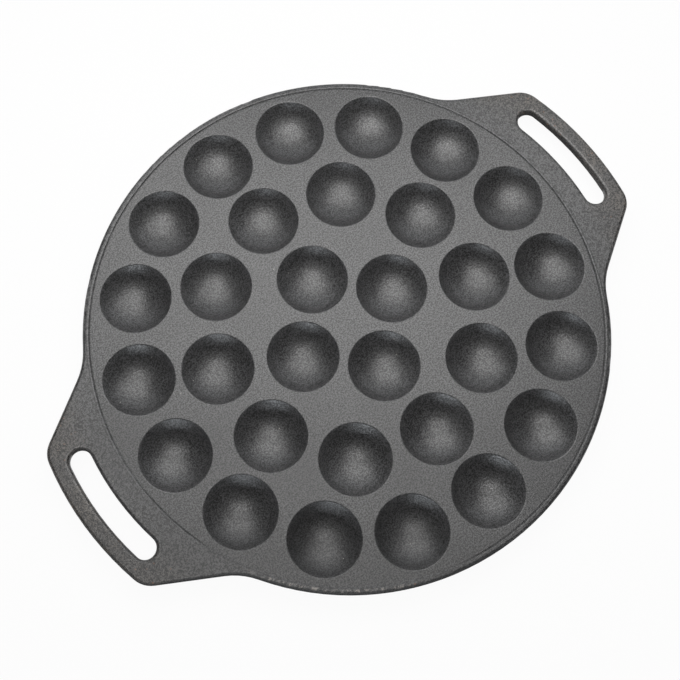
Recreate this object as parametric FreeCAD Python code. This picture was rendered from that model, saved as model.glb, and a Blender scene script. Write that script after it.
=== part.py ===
import FreeCAD, Part
import math
import os

# Poffertjes pan: a flat cast-iron plate with round cups in rings, a low rim and two slotted
# ear handles, cast in one piece. All sizes are millimetres.
# X runs along the handles and Z points up. The origin is the middle of the footprint, on
# the plane of the flat feet under the cups.

# Outline, seen from above
DISC_DIAMETER = 296.0          # round body
HANDLE_REACH = 32.0            # how far each handle stands out past the disc
HANDLE_END_WIDTH = 89.6        # over the two corners of a handle, before they are rounded
HANDLE_SIDE_ANGLE = 31.0       # degrees between a handle's side and the X axis
HANDLE_CORNER = 14.0           # rounding of a handle's corners
HANDLE_BLEND = 40.0            # hollow curve from a handle's side into the disc

# Edge of the casting, and the cooking plate sunk inside it
EDGE_HEIGHT = 5.8              # thickness of the rim and the handles
EDGE_ROUND_TOP = 2.0
EDGE_ROUND_UNDER = 1.2
RIM_HEIGHT = 0.4               # rim and handles above the cooking plate
RIM_LEVEL = 1.4                # level strip between the rim's outer rounding and its step
RIM_STEP_RUN = 0.6             # width of the sloping step down to the plate
RIM_STEP_FOOT = 0.4            # hollow rounding at the foot of the step
RIM_STEP_CREST = 0.3           # rounding along the top of the step

# Slot through each handle, curved about the middle of the pan
GRIP_WIDTH = 9.4               # bar outside the slot
SLOT_WIDTH = 12.5
SLOT_END_MARGIN = 9.5          # from the slot's end to the level of the handle's corner
SLOT_ROUND_TOP = 2.0
SLOT_ROUND_UNDER = 1.5

# Cups, set in rings that start under the rim and go inwards
CUP_MOUTH = 40.0               # diameter at the cooking plate
CUP_DEPTH = 11.0
CUP_LIP = 0.8                  # rounding of the mouth's edge
CUP_LAND = 5.0                 # least metal between two cups of one ring
RING_LANDS = (4.0, 3.0, 5.0)   # metal between the rim or the last ring and each ring

# Domes that the cups make under the plate
CUP_WALL = 4.5
FOOT_DIAMETER = 12.0           # flat under each cup that the pan stands on
ROOT_ROUND = 3.0               # hollow rounding between a dome and the plate
ROOT_ANGLE = 10.0              # degrees at which that rounding meets the underside

# Sizes that follow from these
disc_radius = DISC_DIAMETER / 2
reach = disc_radius + HANDLE_REACH
mouth_radius = CUP_MOUTH / 2
foot_radius = FOOT_DIAMETER / 2
bowl_radius = (mouth_radius ** 2 + CUP_DEPTH ** 2) / (2 * CUP_DEPTH)
dome_radius = bowl_radius + CUP_WALL

# Heights above the feet
bowl_centre_z = math.sqrt(dome_radius ** 2 - foot_radius ** 2)
plate_z = bowl_centre_z - (bowl_radius - CUP_DEPTH)
rim_z = plate_z + RIM_HEIGHT
underside_z = rim_z - EDGE_HEIGHT

# Radii of the rim's step and of the slots
step_foot_radius = disc_radius - EDGE_ROUND_TOP - RIM_LEVEL - RIM_STEP_RUN
slot_outer_radius = reach - GRIP_WIDTH
slot_inner_radius = slot_outer_radius - SLOT_WIDTH
slot_mid_radius = (slot_outer_radius + slot_inner_radius) / 2

PAST = 5.0                     # how far a cutting body runs past the metal
CLOSE = 1e-4                   # two heights are the same within this
ORIGIN = FreeCAD.Vector(0, 0, 0)
X_AXIS = FreeCAD.Vector(1, 0, 0)
Y_AXIS = FreeCAD.Vector(0, 1, 0)
Z_AXIS = FreeCAD.Vector(0, 0, 1)


def unit(vector):
    """Vector of length one in the same direction."""
    return vector * (1 / vector.Length)


def in_section(x, z):
    """Point in the XZ plane."""
    return FreeCAD.Vector(x, 0, z)


def polar(radius, degrees):
    """Point in the XY plane at a radius and an angle about the pan's axis."""
    angle = math.radians(degrees)
    return FreeCAD.Vector(radius * math.cos(angle), radius * math.sin(angle), 0)


def arc(start, middle, end):
    """Edge along the circle through three points."""
    return Part.Arc(start, middle, end).toShape()


def line(start, end):
    """Straight edge between two points."""
    return Part.LineSegment(start, end).toShape()


def turned(edges):
    """Solid of revolution about Z from a closed outline in the XZ plane."""
    return Part.Face(Part.Wire(edges)).revolve(ORIGIN, Z_AXIS, 360)


def level_face(solid, z):
    """Largest level face of a solid at a height."""
    level = [face for face in solid.Faces
             if face.BoundBox.ZLength < CLOSE and abs(face.BoundBox.ZMin - z) < CLOSE]
    return max(level, key=lambda face: face.Area)


def openings_in(face):
    """Closed lines round the openings in a face."""
    return [wire for wire in face.Wires if not wire.isSame(face.OuterWire)]


def edges_of(wires):
    """All edges of some closed lines."""
    return [edge for wire in wires for edge in wire.Edges]


def side_rounding(outward, side, circle_radius, radius):
    """Start, middle and end of a rounding from a circle about Z to a handle's side.

    The side is a straight line square to outward, at the distance side from the axis.
    A positive radius is a hollow outside both lines, a negative one a corner inside them.
    """
    along = FreeCAD.Vector(outward.y, -outward.x, 0)
    spread = math.sqrt((circle_radius + radius) ** 2 - (side + radius) ** 2)
    centre = outward * (side + radius) + along * spread
    on_circle = centre * (circle_radius / (circle_radius + radius))
    on_side = centre - outward * radius
    middle = centre - unit(unit(centre) + outward) * radius
    return on_circle, middle, on_side


def quarter_outline():
    """Edges of the outline from the X axis round the handle's corner to the Y axis."""
    angle = math.radians(HANDLE_SIDE_ANGLE)
    outward = FreeCAD.Vector(math.sin(angle), math.cos(angle), 0)
    half_end = HANDLE_END_WIDTH / 2
    corner = FreeCAD.Vector(math.sqrt(reach ** 2 - half_end ** 2), half_end, 0)
    side = corner.dot(outward)
    end_stop, corner_middle, side_start = side_rounding(
        outward, side, reach, -HANDLE_CORNER)
    disc_start, blend_middle, side_stop = side_rounding(
        outward, side, disc_radius, HANDLE_BLEND)
    end_middle = unit(X_AXIS * reach + end_stop) * reach
    disc_middle = unit(Y_AXIS * disc_radius + disc_start) * disc_radius
    return [
        arc(X_AXIS * reach, end_middle, end_stop),
        arc(end_stop, corner_middle, side_start),
        line(side_start, side_stop),
        arc(side_stop, blend_middle, disc_start),
        arc(disc_start, disc_middle, Y_AXIS * disc_radius),
    ]


def make_blank():
    """Disc and handles as one slab with rounded edges."""
    quarter = quarter_outline()
    half = quarter + [edge.mirror(ORIGIN, X_AXIS) for edge in quarter]
    whole = half + [edge.mirror(ORIGIN, Y_AXIS) for edge in half]
    outline = Part.Wire(Part.__sortEdges__(whole))
    outline.translate(Z_AXIS * underside_z)
    slab = Part.Face(outline).extrude(Z_AXIS * EDGE_HEIGHT).removeSplitter()
    slab = slab.makeFillet(EDGE_ROUND_TOP, level_face(slab, rim_z).OuterWire.Edges)
    return slab.makeFillet(EDGE_ROUND_UNDER, level_face(slab, underside_z).OuterWire.Edges)


def make_slot_cutter():
    """Curved slot with round ends, for the handle on the +X side."""
    end_radius = SLOT_WIDTH / 2
    end_y = HANDLE_END_WIDTH / 2 - SLOT_END_MARGIN - end_radius
    end = math.degrees(math.asin(end_y / slot_mid_radius))
    past_end = polar(slot_mid_radius, end) + polar(end_radius, end + 90)
    before_end = polar(slot_mid_radius, -end) + polar(end_radius, -end - 90)
    outline = Part.Wire([
        arc(polar(slot_outer_radius, -end), polar(slot_outer_radius, 0),
            polar(slot_outer_radius, end)),
        arc(polar(slot_outer_radius, end), past_end, polar(slot_inner_radius, end)),
        arc(polar(slot_inner_radius, end), polar(slot_inner_radius, 0),
            polar(slot_inner_radius, -end)),
        arc(polar(slot_inner_radius, -end), before_end, polar(slot_outer_radius, -end)),
    ])
    outline.translate(Z_AXIS * (underside_z - PAST))
    return Part.Face(outline).extrude(Z_AXIS * (EDGE_HEIGHT + 2 * PAST))


def cut_slots(pan):
    """Open both handles and round the slots' edges for the fingers."""
    slot = make_slot_cutter()
    pan = pan.cut([slot, slot.mirror(ORIGIN, X_AXIS)])
    for z, radius in ((rim_z, SLOT_ROUND_TOP), (underside_z, SLOT_ROUND_UNDER)):
        pan = pan.makeFillet(radius, edges_of(openings_in(level_face(pan, z))))
    return pan


def make_recess_cutter():
    """Shallow round recess that leaves the rim standing round the cooking plate."""
    slope = math.atan2(RIM_HEIGHT, RIM_STEP_RUN)
    back = RIM_STEP_FOOT * math.tan(slope / 2)
    top_z = rim_z + PAST
    top_radius = step_foot_radius + (top_z - plate_z) / math.tan(slope)
    foot_start = in_section(step_foot_radius - back, plate_z)
    foot_middle = in_section(foot_start.x + RIM_STEP_FOOT * math.sin(slope / 2),
                             plate_z + RIM_STEP_FOOT * (1 - math.cos(slope / 2)))
    foot_end = in_section(step_foot_radius + back * math.cos(slope),
                          plate_z + back * math.sin(slope))
    return turned([
        line(in_section(0, plate_z), foot_start),
        arc(foot_start, foot_middle, foot_end),
        line(foot_end, in_section(top_radius, top_z)),
        line(in_section(top_radius, top_z), in_section(0, top_z)),
        line(in_section(0, top_z), in_section(0, plate_z)),
    ])


def cut_recess(pan):
    """Sink the cooking plate below the rim and soften the top of the step."""
    pan = pan.cut(make_recess_cutter())
    crest = max(openings_in(level_face(pan, rim_z)), key=lambda wire: wire.Length)
    return pan.makeFillet(RIM_STEP_CREST, crest.Edges)


def make_dome():
    """Outside of one cup below the plate: flat foot, round wall and hollow root."""
    bowl_centre = in_section(0, bowl_centre_z)
    foot_edge = in_section(foot_radius, 0)
    root_z = underside_z - ROOT_ROUND * math.cos(math.radians(ROOT_ANGLE))
    root_radius = math.sqrt((dome_radius + ROOT_ROUND) ** 2 - (bowl_centre_z - root_z) ** 2)
    root_centre = in_section(root_radius, root_z)
    to_foot = unit(foot_edge - bowl_centre)
    to_root = unit(root_centre - bowl_centre)
    wall_middle = bowl_centre + unit(to_foot + to_root) * dome_radius
    wall_end = bowl_centre + to_root * dome_radius
    root_middle = root_centre + unit(Z_AXIS - to_root) * ROOT_ROUND
    root_end = root_centre + Z_AXIS * ROOT_ROUND
    inside_z = (underside_z + plate_z) / 2
    return turned([
        line(ORIGIN, foot_edge),
        arc(foot_edge, wall_middle, wall_end),
        arc(wall_end, root_middle, root_end),
        line(root_end, in_section(root_radius, inside_z)),
        line(in_section(root_radius, inside_z), in_section(0, inside_z)),
        line(in_section(0, inside_z), ORIGIN),
    ])


def cup_places():
    """Middle of every cup. Each ring holds as many as the least land allows, and every
    second ring starts half a step round from the X axis."""
    places = []
    pitch = CUP_MOUTH + CUP_LAND
    inside = step_foot_radius
    for number, land in enumerate(RING_LANDS):
        ring_radius = inside - land - mouth_radius
        if ring_radius < pitch / 2:
            break
        count = math.floor(math.pi / math.asin(pitch / 2 / ring_radius))
        step = 360 / count
        places += [polar(ring_radius, step * (index + number % 2 / 2))
                   for index in range(count)]
        inside = ring_radius - mouth_radius
    return places


def placed(solid, place):
    """Copy of a solid at a place."""
    copy = solid.copy()
    copy.translate(place)
    return copy


def add_cups(pan):
    """Hang the domes under the plate, hollow them out and round the mouths."""
    places = cup_places()
    dome = make_dome()
    for place in places:
        pan = pan.fuse(placed(dome, place))
    bowl = Part.makeSphere(bowl_radius, in_section(0, bowl_centre_z))
    pan = pan.removeSplitter().cut([placed(bowl, place) for place in places])
    return pan.makeFillet(CUP_LIP, edges_of(openings_in(level_face(pan, plate_z))))


def make_pan():
    """The whole casting."""
    return add_cups(cut_recess(cut_slots(make_blank())))


os.makedirs("parts", exist_ok=True)
make_pan().exportStep("parts/pan.step")
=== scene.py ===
import math
import bpy
from mathutils import Matrix, Vector


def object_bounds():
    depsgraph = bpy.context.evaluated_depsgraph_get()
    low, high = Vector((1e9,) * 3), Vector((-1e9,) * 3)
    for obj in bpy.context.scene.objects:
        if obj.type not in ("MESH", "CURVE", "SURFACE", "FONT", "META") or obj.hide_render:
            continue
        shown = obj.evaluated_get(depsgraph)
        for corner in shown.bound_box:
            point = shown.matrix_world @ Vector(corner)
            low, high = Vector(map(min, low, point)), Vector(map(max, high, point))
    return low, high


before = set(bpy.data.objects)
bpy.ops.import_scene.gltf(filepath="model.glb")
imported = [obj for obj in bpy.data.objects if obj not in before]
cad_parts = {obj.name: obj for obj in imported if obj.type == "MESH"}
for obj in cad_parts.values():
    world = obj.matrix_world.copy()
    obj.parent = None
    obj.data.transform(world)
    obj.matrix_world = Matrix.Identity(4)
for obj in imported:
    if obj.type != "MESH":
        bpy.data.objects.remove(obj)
cad_low, cad_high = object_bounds()

# Poffertjes pan of bare cast iron, on a plain white floor in soft studio light.
# Everything is in metres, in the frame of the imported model.

MM = 0.001

# Heights of the casting that the finish follows
RIM_HEIGHT = 0.4 * MM          # rim above the cooking plate
PLATE_Z = cad_high.z - RIM_HEIGHT
CUP_START = 0.3 * MM           # depth below the plate where the finish of the cups starts
CUP_FULL = 1.5 * MM

# Circles about the middle of the pan
CREASE_RADIUS = 144.0 * MM     # groove where the plate meets the rim, darkened in the colour with painted shade
CREASE_WIDTH = 0.5 * MM
CREASE_DEPTH = 0.15 * MM
CREST_RADIUS = 145.2 * MM      # slightly raised inner edge of the rim
CREST_WIDTH = 0.8 * MM
CREST_HEIGHT = 0.06 * MM
OUTSIDE_RADIUS = 145.0 * MM    # from here outwards there is no plate
HANDLE_START = 150 * MM        # from here the handles turn browner
HANDLE_FULL = 176 * MM

# Stretch of rim that is rubbed pale and specked with rust
RUBBED_PLACE = Vector((-98 * MM, -108 * MM, PLATE_Z))
RUBBED_REACH = 55 * MM
RUBBED_RADIUS = 145.8 * MM     # middle of the rubbed band
RUBBED_WIDTH = 1.2 * MM
RUBBED_CORE = 0.3 * MM
FAINT_REACH = 95 * MM          # within this distance of the place the crease is faint
FULL_SHARE = 0.5               # share of a reach within which it has its full effect

# Side of the pan toward the camera, as a level direction: there the plate is rougher and darkened
# with painted shade, and the walls facing it are rougher still and darkened with painted shade
NEAR_SIDE_ANGLE = math.radians(228.045)
NEAR_SIDE = Vector((math.cos(NEAR_SIDE_ANGLE), math.sin(NEAR_SIDE_ANGLE), 0))
NEAR_SIDE_START = 85 * MM           # distance toward that side where the plate starts to turn rougher and darker with painted shade
NEAR_SIDE_FULL = 140 * MM
NEAR_WALL_START = 0.35              # cosine of a wall's angle to that side where its roughness and painted shade start
NEAR_WALL_FULL = 0.75

# Colours of the iron
IRON_COLOR = (0.042, 0.042, 0.043, 1.0)
WARM_COLOR = (0.066, 0.058, 0.050, 1.0)
PIT_COLOR = (0.012, 0.012, 0.012, 1.0)
DUST_COLOR = (0.42, 0.40, 0.36, 1.0)
RUBBED_COLOR = (0.24, 0.22, 0.20, 1.0)
RUST_COLOR = (0.30, 0.14, 0.07, 1.0)

# Noises: bumps in a metre, octaves and how strong the finer ones are
SPECKLE = {"scale": 1150, "detail": 1.0, "roughness": 1.0}     # contrast of the sand grain
GRAIN = {"scale": 1700, "detail": 1.0, "roughness": 0.5}       # relief of the sand grain
PEBBLES = {"scale": 1050, "detail": 1.0, "roughness": 0.5}     # relief, strongest in the cups
MOTTLE = {"scale": 45, "detail": 3.0, "roughness": 0.6}        # large soft patches
FLECKS = {"scale": 330, "detail": 3.0, "roughness": 0.8}       # what is left of the rubbed band

# Parts of a noise's range that are stretched to its full effect
SPECKLE_SPAN = (0.38, 0.62)
MOTTLE_SPAN = (0.30, 0.70)
CREASE_SPAN = (0.30, 0.60)
WARM_SPAN = (0.35, 0.65)
FLECK_SPAN = (0.50, 0.62)

# Specks: cells in a metre, radius, and about which share of the cells holds one
PITS = {"scale": 150, "size": 0.30 * MM, "share": 0.5}
DUST = {"scale": 120, "size": 0.35 * MM, "share": 0.4}
RUST = {"scale": 300, "size": 0.70 * MM, "share": 0.55}
SPECK_CORE = 0.4               # share of a speck's radius that is solid
HANDLE_RUST = 0.35             # strength of the rust on the handles

# Strength of each effect
SPECKLE_SHADE = 0.95           # lighter or darker by this share
MOTTLE_SHADE = 0.08
CREASE_PAINTED_SHADE = 0.5             # colour is multiplied by this; painted shade in the crease
# painted shade on the plate toward the camera
NEAR_SIDE_PAINTED_SHADE = 0.6
# painted shade on the walls facing the camera
NEAR_WALL_PAINTED_SHADE = 0.5
LEAST_WARMTH = 0.3
LEAST_CREASE = 0.4
FAINT_CREASE = 0.1
GRAIN_HEIGHT = 0.07 * MM
PEBBLE_HEIGHT = 0.04 * MM
CUP_PEBBLE_HEIGHT = 0.15 * MM

# Gloss of the iron
SPECULAR = 1.0
PLATE_ROUGHNESS = 0.38
CUP_ROUGHNESS = 0.39
NEAR_WALL_ROUGHNESS = 0.95
SPECKLE_ROUGHNESS = 0.06       # added in the dark grains and taken away in the light ones
CREASE_ROUGHNESS = 0.20        # added in the crease
NEAR_SIDE_ROUGHNESS = 0.10          # added on the plate toward the camera

# Camera: looks at a point on the cooking plate
IMAGE_SIZE = 680               # pixels
FOCAL_PIXELS = 945.0
CENTRE_PIXEL = (316.4, 345.4)  # where the camera's axis meets the picture
SENSOR = 36.0                  # millimetres
AZIMUTH = math.radians(-41.955)
ELEVATION = math.radians(75.936)
ROLL = math.radians(3.427)
DISTANCE = 525.0 * MM
AIM = (-22.3 * MM, 0.4 * MM)

# Level directions to the right in the picture and away from the camera
RIGHT = Vector((math.cos(AZIMUTH), math.sin(AZIMUTH), 0))
AWAY = Vector((-math.sin(AZIMUTH), math.cos(AZIMUTH), 0))

# Lamps, aimed at the middle of the plate: metres to the right, away and above it, and watts
LAMPS = {
    "key": {"place": (-0.04, -0.35, 1.60), "size": (1.16, 0.30), "power": 8.0,
            "color": (1.0, 0.99, 0.98)},
    "panel": {"place": (-0.026, 0.152, 0.341), "size": (0.56, 0.32), "power": 1.36,
              "color": (1.0, 0.995, 0.99)},
    "back": {"place": (-0.01, 0.87, 0.37), "size": (2.30, 0.38), "power": 3.0,
             "color": (0.95, 0.97, 1.0)},
    "front": {"place": (-0.12, -0.75, 0.07), "size": (0.50, 0.10), "power": 1.3,
              "color": (0.90, 0.95, 1.0)},
}
WHITE = (1, 1, 1, 1)
AMBIENT = 0.03
HORIZON = 0.14                 # how far up the backdrop shows in the gloss, as a sine
HORIZON_GLOW = 0.8             # its strength there, at the floor

# Floor
FLOOR_HALF = 8.0
FLOOR_COLOR = (0.9, 0.9, 0.9, 1.0)
FLOOR_GLOW = 0.94              # share of the floor's white that no shadow darkens
MIRRORED_GLOW = 0.5            # the same in the gloss


def node(tree, kind, inputs=None, **settings):
    """New node. An input is a value, or another node's output that is linked to it."""
    made = tree.nodes.new(kind)
    for name, value in settings.items():
        setattr(made, name, value)
    for name, value in (inputs or {}).items():
        if isinstance(value, bpy.types.NodeSocket):
            tree.links.new(value, made.inputs[name])
        else:
            made.inputs[name].default_value = value
    return made


def noise(tree, where, scale, detail, roughness):
    """Noise from 0 to 1, with about scale bumps in a metre."""
    made = node(tree, "ShaderNodeTexNoise", {
        "Vector": where, "Scale": scale, "Detail": detail, "Roughness": roughness})
    return made.outputs["Fac"]


def ramp(tree, value, low, high, to_low=0.0, to_high=1.0):
    """Value from low to high, eased into to_low to to_high."""
    made = node(tree, "ShaderNodeMapRange", {
        "Value": value, "From Min": low, "From Max": high, "To Min": to_low, "To Max": to_high},
        interpolation_type="SMOOTHSTEP")
    return made.outputs["Result"]


def where_full(tree, mask, strength, base=1.0):
    """Base where the mask is 0, eased to strength where it is 1."""
    return ramp(tree, mask, 0, 1, base, strength)


def math_node(tree, operation, *values):
    """Result of an operation on two or three numbers."""
    made = node(tree, "ShaderNodeMath", dict(enumerate(values)), operation=operation)
    return made.outputs["Value"]


def product(tree, first, *others):
    """All values multiplied together."""
    for value in others:
        first = math_node(tree, "MULTIPLY", first, value)
    return first


def measure(tree, operation, *vectors):
    """Number that an operation on one or two vectors gives."""
    made = node(tree, "ShaderNodeVectorMath", dict(enumerate(vectors)), operation=operation)
    return made.outputs["Value"]


def tint(tree, share, under, over):
    """Colour under, with a share of the colour over."""
    made = node(tree, "ShaderNodeMix", {0: share, 6: under, 7: over}, data_type="RGBA")
    return made.outputs[2]


def specks(tree, where, scale, size, share):
    """Mask of small specks, at most one in each cell of about 1/scale metres."""
    cells = node(tree, "ShaderNodeTexVoronoi", {"Vector": where, "Scale": scale}).outputs
    chosen = math_node(tree, "LESS_THAN", cells["Color"], share)
    spot = ramp(tree, cells["Distance"], size * scale, SPECK_CORE * size * scale)
    return product(tree, spot, chosen)


def near_circle(tree, radius, circle, width, core=0.0):
    """1 on a circle about the middle of the pan, easing from core to 0 at width beside it."""
    apart = math_node(tree, "ABSOLUTE", math_node(tree, "SUBTRACT", radius, circle))
    return ramp(tree, apart, width, core)


def near_rubbed_place(tree, where, reach):
    """1 around the rubbed stretch of rim, easing to 0 at reach from it."""
    apart = measure(tree, "DISTANCE", where, RUBBED_PLACE)
    return ramp(tree, apart, reach, FULL_SHARE * reach)


def surface(tree):
    """Place, masks and noises that the colour, the gloss and the relief share, by name."""
    coordinates = node(tree, "ShaderNodeTexCoord").outputs
    where = coordinates["Object"]
    parts = node(tree, "ShaderNodeSeparateXYZ", {"Vector": where}).outputs
    flat = node(tree, "ShaderNodeCombineXYZ", {"X": parts["X"], "Y": parts["Y"]}).outputs["Vector"]
    radius = measure(tree, "LENGTH", flat)
    mottle = noise(tree, where, **MOTTLE)
    aside = measure(tree, "DOT_PRODUCT", flat, NEAR_SIDE)
    facing = measure(tree, "DOT_PRODUCT", coordinates["Normal"], NEAR_SIDE)
    # Crease: a groove in the relief, rougher, and darkened in the colour with painted shade
    crease = product(
        tree, near_circle(tree, radius, CREASE_RADIUS, CREASE_WIDTH),
        ramp(tree, mottle, *CREASE_SPAN, LEAST_CREASE, 1.0),
        where_full(tree, near_rubbed_place(tree, where, FAINT_REACH), FAINT_CREASE))
    return {
        "where": where,
        "radius": radius,
        "mottle": mottle,
        "speckle": noise(tree, where, **SPECKLE),
        "crease": crease,
        "cup": ramp(tree, parts["Z"], PLATE_Z - CUP_START, PLATE_Z - CUP_FULL),
        # plate toward the camera: rougher, and darkened in the colour with painted shade
        "shaded_near_side": ramp(tree, aside, NEAR_SIDE_START, NEAR_SIDE_FULL),
        # walls facing the camera: very rough, and darkened in the colour with painted shade
        "shaded_near_walls": product(tree, ramp(tree, facing, NEAR_WALL_START, NEAR_WALL_FULL),
                         ramp(tree, radius, CREASE_RADIUS, OUTSIDE_RADIUS)),
    }


def iron_color(tree, at):
    """Speckled dark grey, browner on the handles, with pits, dust, rubbed flecks and rust, and
    painted shade in the crease, on the near side of the plate and on the walls facing the camera.
    """
    where, radius, mottle = at["where"], at["radius"], at["mottle"]
    shade = product(
        tree, ramp(tree, at["speckle"], *SPECKLE_SPAN, 1 - SPECKLE_SHADE, 1 + SPECKLE_SHADE),
        ramp(tree, mottle, *MOTTLE_SPAN, 1 - MOTTLE_SHADE, 1 + MOTTLE_SHADE),
        # painted shade in the crease
        where_full(tree, at["crease"], CREASE_PAINTED_SHADE),
        # painted shade on the plate toward the camera
        where_full(tree, at["shaded_near_side"], NEAR_SIDE_PAINTED_SHADE),
        # painted shade on the walls facing the camera
        where_full(tree, at["shaded_near_walls"], NEAR_WALL_PAINTED_SHADE))
    handle = ramp(tree, radius, HANDLE_START, HANDLE_FULL)
    warmth = product(tree, handle, ramp(tree, mottle, *WARM_SPAN, LEAST_WARMTH, 1.0))
    rubbed = product(tree, near_circle(tree, radius, RUBBED_RADIUS, RUBBED_WIDTH, RUBBED_CORE),
                     near_rubbed_place(tree, where, RUBBED_REACH))
    flecks = product(tree, rubbed, ramp(tree, noise(tree, where, **FLECKS), *FLECK_SPAN))
    rusty = math_node(tree, "MAXIMUM", rubbed, product(tree, handle, HANDLE_RUST))

    color = tint(tree, warmth, IRON_COLOR, WARM_COLOR)
    color = node(tree, "ShaderNodeVectorMath", {0: color, "Scale": shade},
                 operation="SCALE").outputs["Vector"]
    color = tint(tree, specks(tree, where, **PITS), color, PIT_COLOR)
    color = tint(tree, specks(tree, where, **DUST), color, DUST_COLOR)
    color = tint(tree, flecks, color, RUBBED_COLOR)
    return tint(tree, product(tree, specks(tree, where, **RUST), rusty), color, RUST_COLOR)


def iron_roughness(tree, at):
    """Low gloss that varies with the grain, and almost none on the walls facing the camera."""
    rough = where_full(tree, at["cup"], CUP_ROUGHNESS, PLATE_ROUGHNESS)
    grain = ramp(tree, at["speckle"], *SPECKLE_SPAN, SPECKLE_ROUGHNESS, -SPECKLE_ROUGHNESS)
    rough = math_node(tree, "ADD", rough, grain)
    rough = math_node(tree, "MULTIPLY_ADD", at["crease"], CREASE_ROUGHNESS, rough)
    rough = math_node(tree, "MULTIPLY_ADD", at["shaded_near_side"], NEAR_SIDE_ROUGHNESS, rough)
    return where_full(tree, at["shaded_near_walls"], NEAR_WALL_ROUGHNESS, rough)


def iron_relief(tree, at):
    """Normal of the surface with its grain, its pebbles, the crease and the crest beside it."""
    grain = noise(tree, at["where"], **GRAIN)
    pebbles = noise(tree, at["where"], **PEBBLES)
    crest = near_circle(tree, at["radius"], CREST_RADIUS, CREST_WIDTH)
    height = product(tree, pebbles, where_full(tree, at["cup"], CUP_PEBBLE_HEIGHT, PEBBLE_HEIGHT))
    height = math_node(tree, "MULTIPLY_ADD", grain, GRAIN_HEIGHT, height)
    height = math_node(tree, "MULTIPLY_ADD", at["crease"], -CREASE_DEPTH, height)
    height = math_node(tree, "MULTIPLY_ADD", crest, CREST_HEIGHT, height)
    bump = node(tree, "ShaderNodeBump", {"Height": height, "Distance": 1.0, "Strength": 1.0})
    return bump.outputs["Normal"]


def make_iron():
    """Matte cast iron with the grain of the sand mould."""
    material = bpy.data.materials.new("cast_iron")
    material.use_nodes = True
    tree = material.node_tree
    shader = tree.nodes["Principled BSDF"]
    shader.inputs["Specular IOR Level"].default_value = SPECULAR
    at = surface(tree)
    tree.links.new(iron_color(tree, at), shader.inputs["Base Color"])
    tree.links.new(iron_roughness(tree, at), shader.inputs["Roughness"])
    tree.links.new(iron_relief(tree, at), shader.inputs["Normal"])
    return material


def mirrored_rays(tree, path):
    """1 for a ray that was mirrored or let through, and 0 for any other."""
    return math_node(tree, "MAXIMUM", path["Is Glossy Ray"], path["Is Transmission Ray"])


def make_floor():
    """Plain white floor that shows the pan's soft shadow."""
    bpy.ops.mesh.primitive_plane_add(size=2 * FLOOR_HALF)
    floor = bpy.context.object
    floor.name = "floor"
    material = bpy.data.materials.new("floor")
    material.use_nodes = True
    tree = material.node_tree
    paint = node(tree, "ShaderNodeBsdfDiffuse", {"Color": FLOOR_COLOR})
    glow = node(tree, "ShaderNodeEmission", {"Strength": 1.0})
    path = node(tree, "ShaderNodeLightPath").outputs
    share = math_node(tree, "MAXIMUM",
                      product(tree, mirrored_rays(tree, path), MIRRORED_GLOW),
                      product(tree, path["Is Camera Ray"], FLOOR_GLOW))
    mix = node(tree, "ShaderNodeMixShader", {
        0: share, 1: paint.outputs["BSDF"], 2: glow.outputs["Emission"]})
    tree.links.new(mix.outputs["Shader"], tree.nodes["Material Output"].inputs["Surface"])
    floor.data.materials.append(material)


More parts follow.
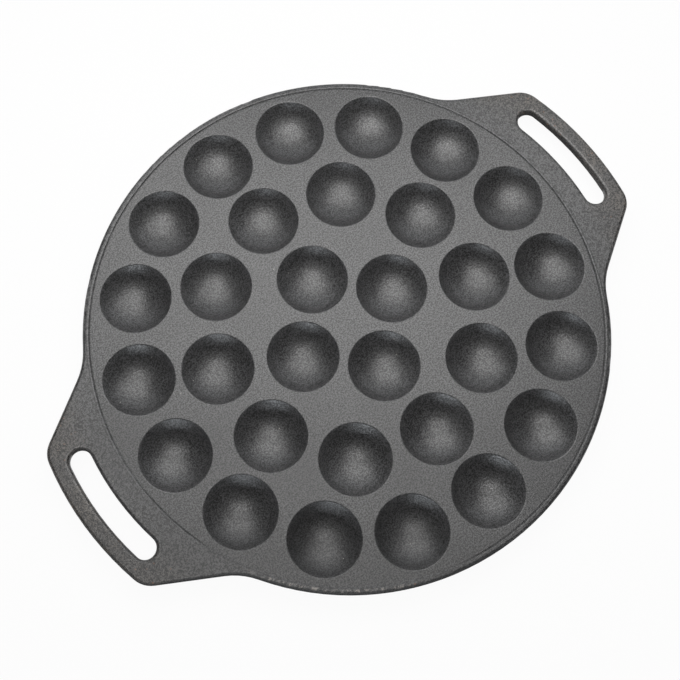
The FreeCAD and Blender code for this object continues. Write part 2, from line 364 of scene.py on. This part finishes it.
def make_world():
    """Dim studio with a white backdrop, which shows in the gloss near the floor only."""
    world = bpy.data.worlds.new("studio")
    world.use_nodes = True
    tree = world.node_tree
    bpy.context.scene.world = world
    ambient = tree.nodes["Background"]
    ambient.inputs["Color"].default_value = WHITE
    ambient.inputs["Strength"].default_value = AMBIENT
    backdrop = node(tree, "ShaderNodeBackground", {"Color": WHITE, "Strength": 1.0})
    path = node(tree, "ShaderNodeLightPath").outputs
    direction = node(tree, "ShaderNodeTexCoord").outputs["Generated"]
    rise = node(tree, "ShaderNodeSeparateXYZ", {"Vector": direction}).outputs["Z"]
    mirrored = product(tree, mirrored_rays(tree, path),
                       ramp(tree, rise, HORIZON, 0.0, 0.0, HORIZON_GLOW))
    share = math_node(tree, "MAXIMUM", path["Is Camera Ray"], mirrored)
    mix = node(tree, "ShaderNodeMixShader", {
        0: share, 1: ambient.outputs["Background"], 2: backdrop.outputs["Background"]})
    tree.links.new(mix.outputs["Shader"], tree.nodes["World Output"].inputs["Surface"])


def make_lamp(name, place, size, power, color):
    """Soft lamp, aimed at the middle of the plate with its width along the picture."""
    data = bpy.data.lights.new(name, "AREA")
    data.shape = "RECTANGLE"
    data.size, data.size_y = size
    data.energy = power
    data.color = color
    lamp = bpy.data.objects.new(name, data)
    to_right, away, height = place
    offset = RIGHT * to_right + AWAY * away + Vector((0, 0, height))
    back = offset.normalized()
    up = back.cross(RIGHT).normalized()
    turn = Matrix((up.cross(back), up, back)).transposed().to_4x4()
    lamp.matrix_world = Matrix.Translation(offset + Vector((0, 0, PLATE_Z))) @ turn
    lamp.visible_camera = False
    bpy.context.scene.collection.objects.link(lamp)


def make_camera():
    """Camera high over the pan, a little to the near left."""
    back = Vector((math.sin(AZIMUTH) * math.cos(ELEVATION),
                   -math.cos(AZIMUTH) * math.cos(ELEVATION), math.sin(ELEVATION)))
    level_up = back.cross(RIGHT)
    right = RIGHT * math.cos(ROLL) + level_up * math.sin(ROLL)
    up = level_up * math.cos(ROLL) - RIGHT * math.sin(ROLL)
    place = Vector((*AIM, PLATE_Z)) + back * DISTANCE
    data = bpy.data.cameras.new("camera")
    data.sensor_width = SENSOR
    data.lens = FOCAL_PIXELS * SENSOR / IMAGE_SIZE
    data.shift_x = 0.5 - CENTRE_PIXEL[0] / IMAGE_SIZE
    data.shift_y = CENTRE_PIXEL[1] / IMAGE_SIZE - 0.5
    camera = bpy.data.objects.new("camera", data)
    turn = Matrix((right, up, back)).transposed().to_4x4()
    camera.matrix_world = Matrix.Translation(place) @ turn
    bpy.context.scene.collection.objects.link(camera)
    bpy.context.scene.camera = camera


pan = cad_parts["pan"]
pan.data.materials.clear()
pan.data.materials.append(make_iron())
make_floor()
make_world()
for name, lamp in LAMPS.items():
    make_lamp(name, **lamp)
make_camera()
bpy.context.scene.view_settings.view_transform = "Standard"
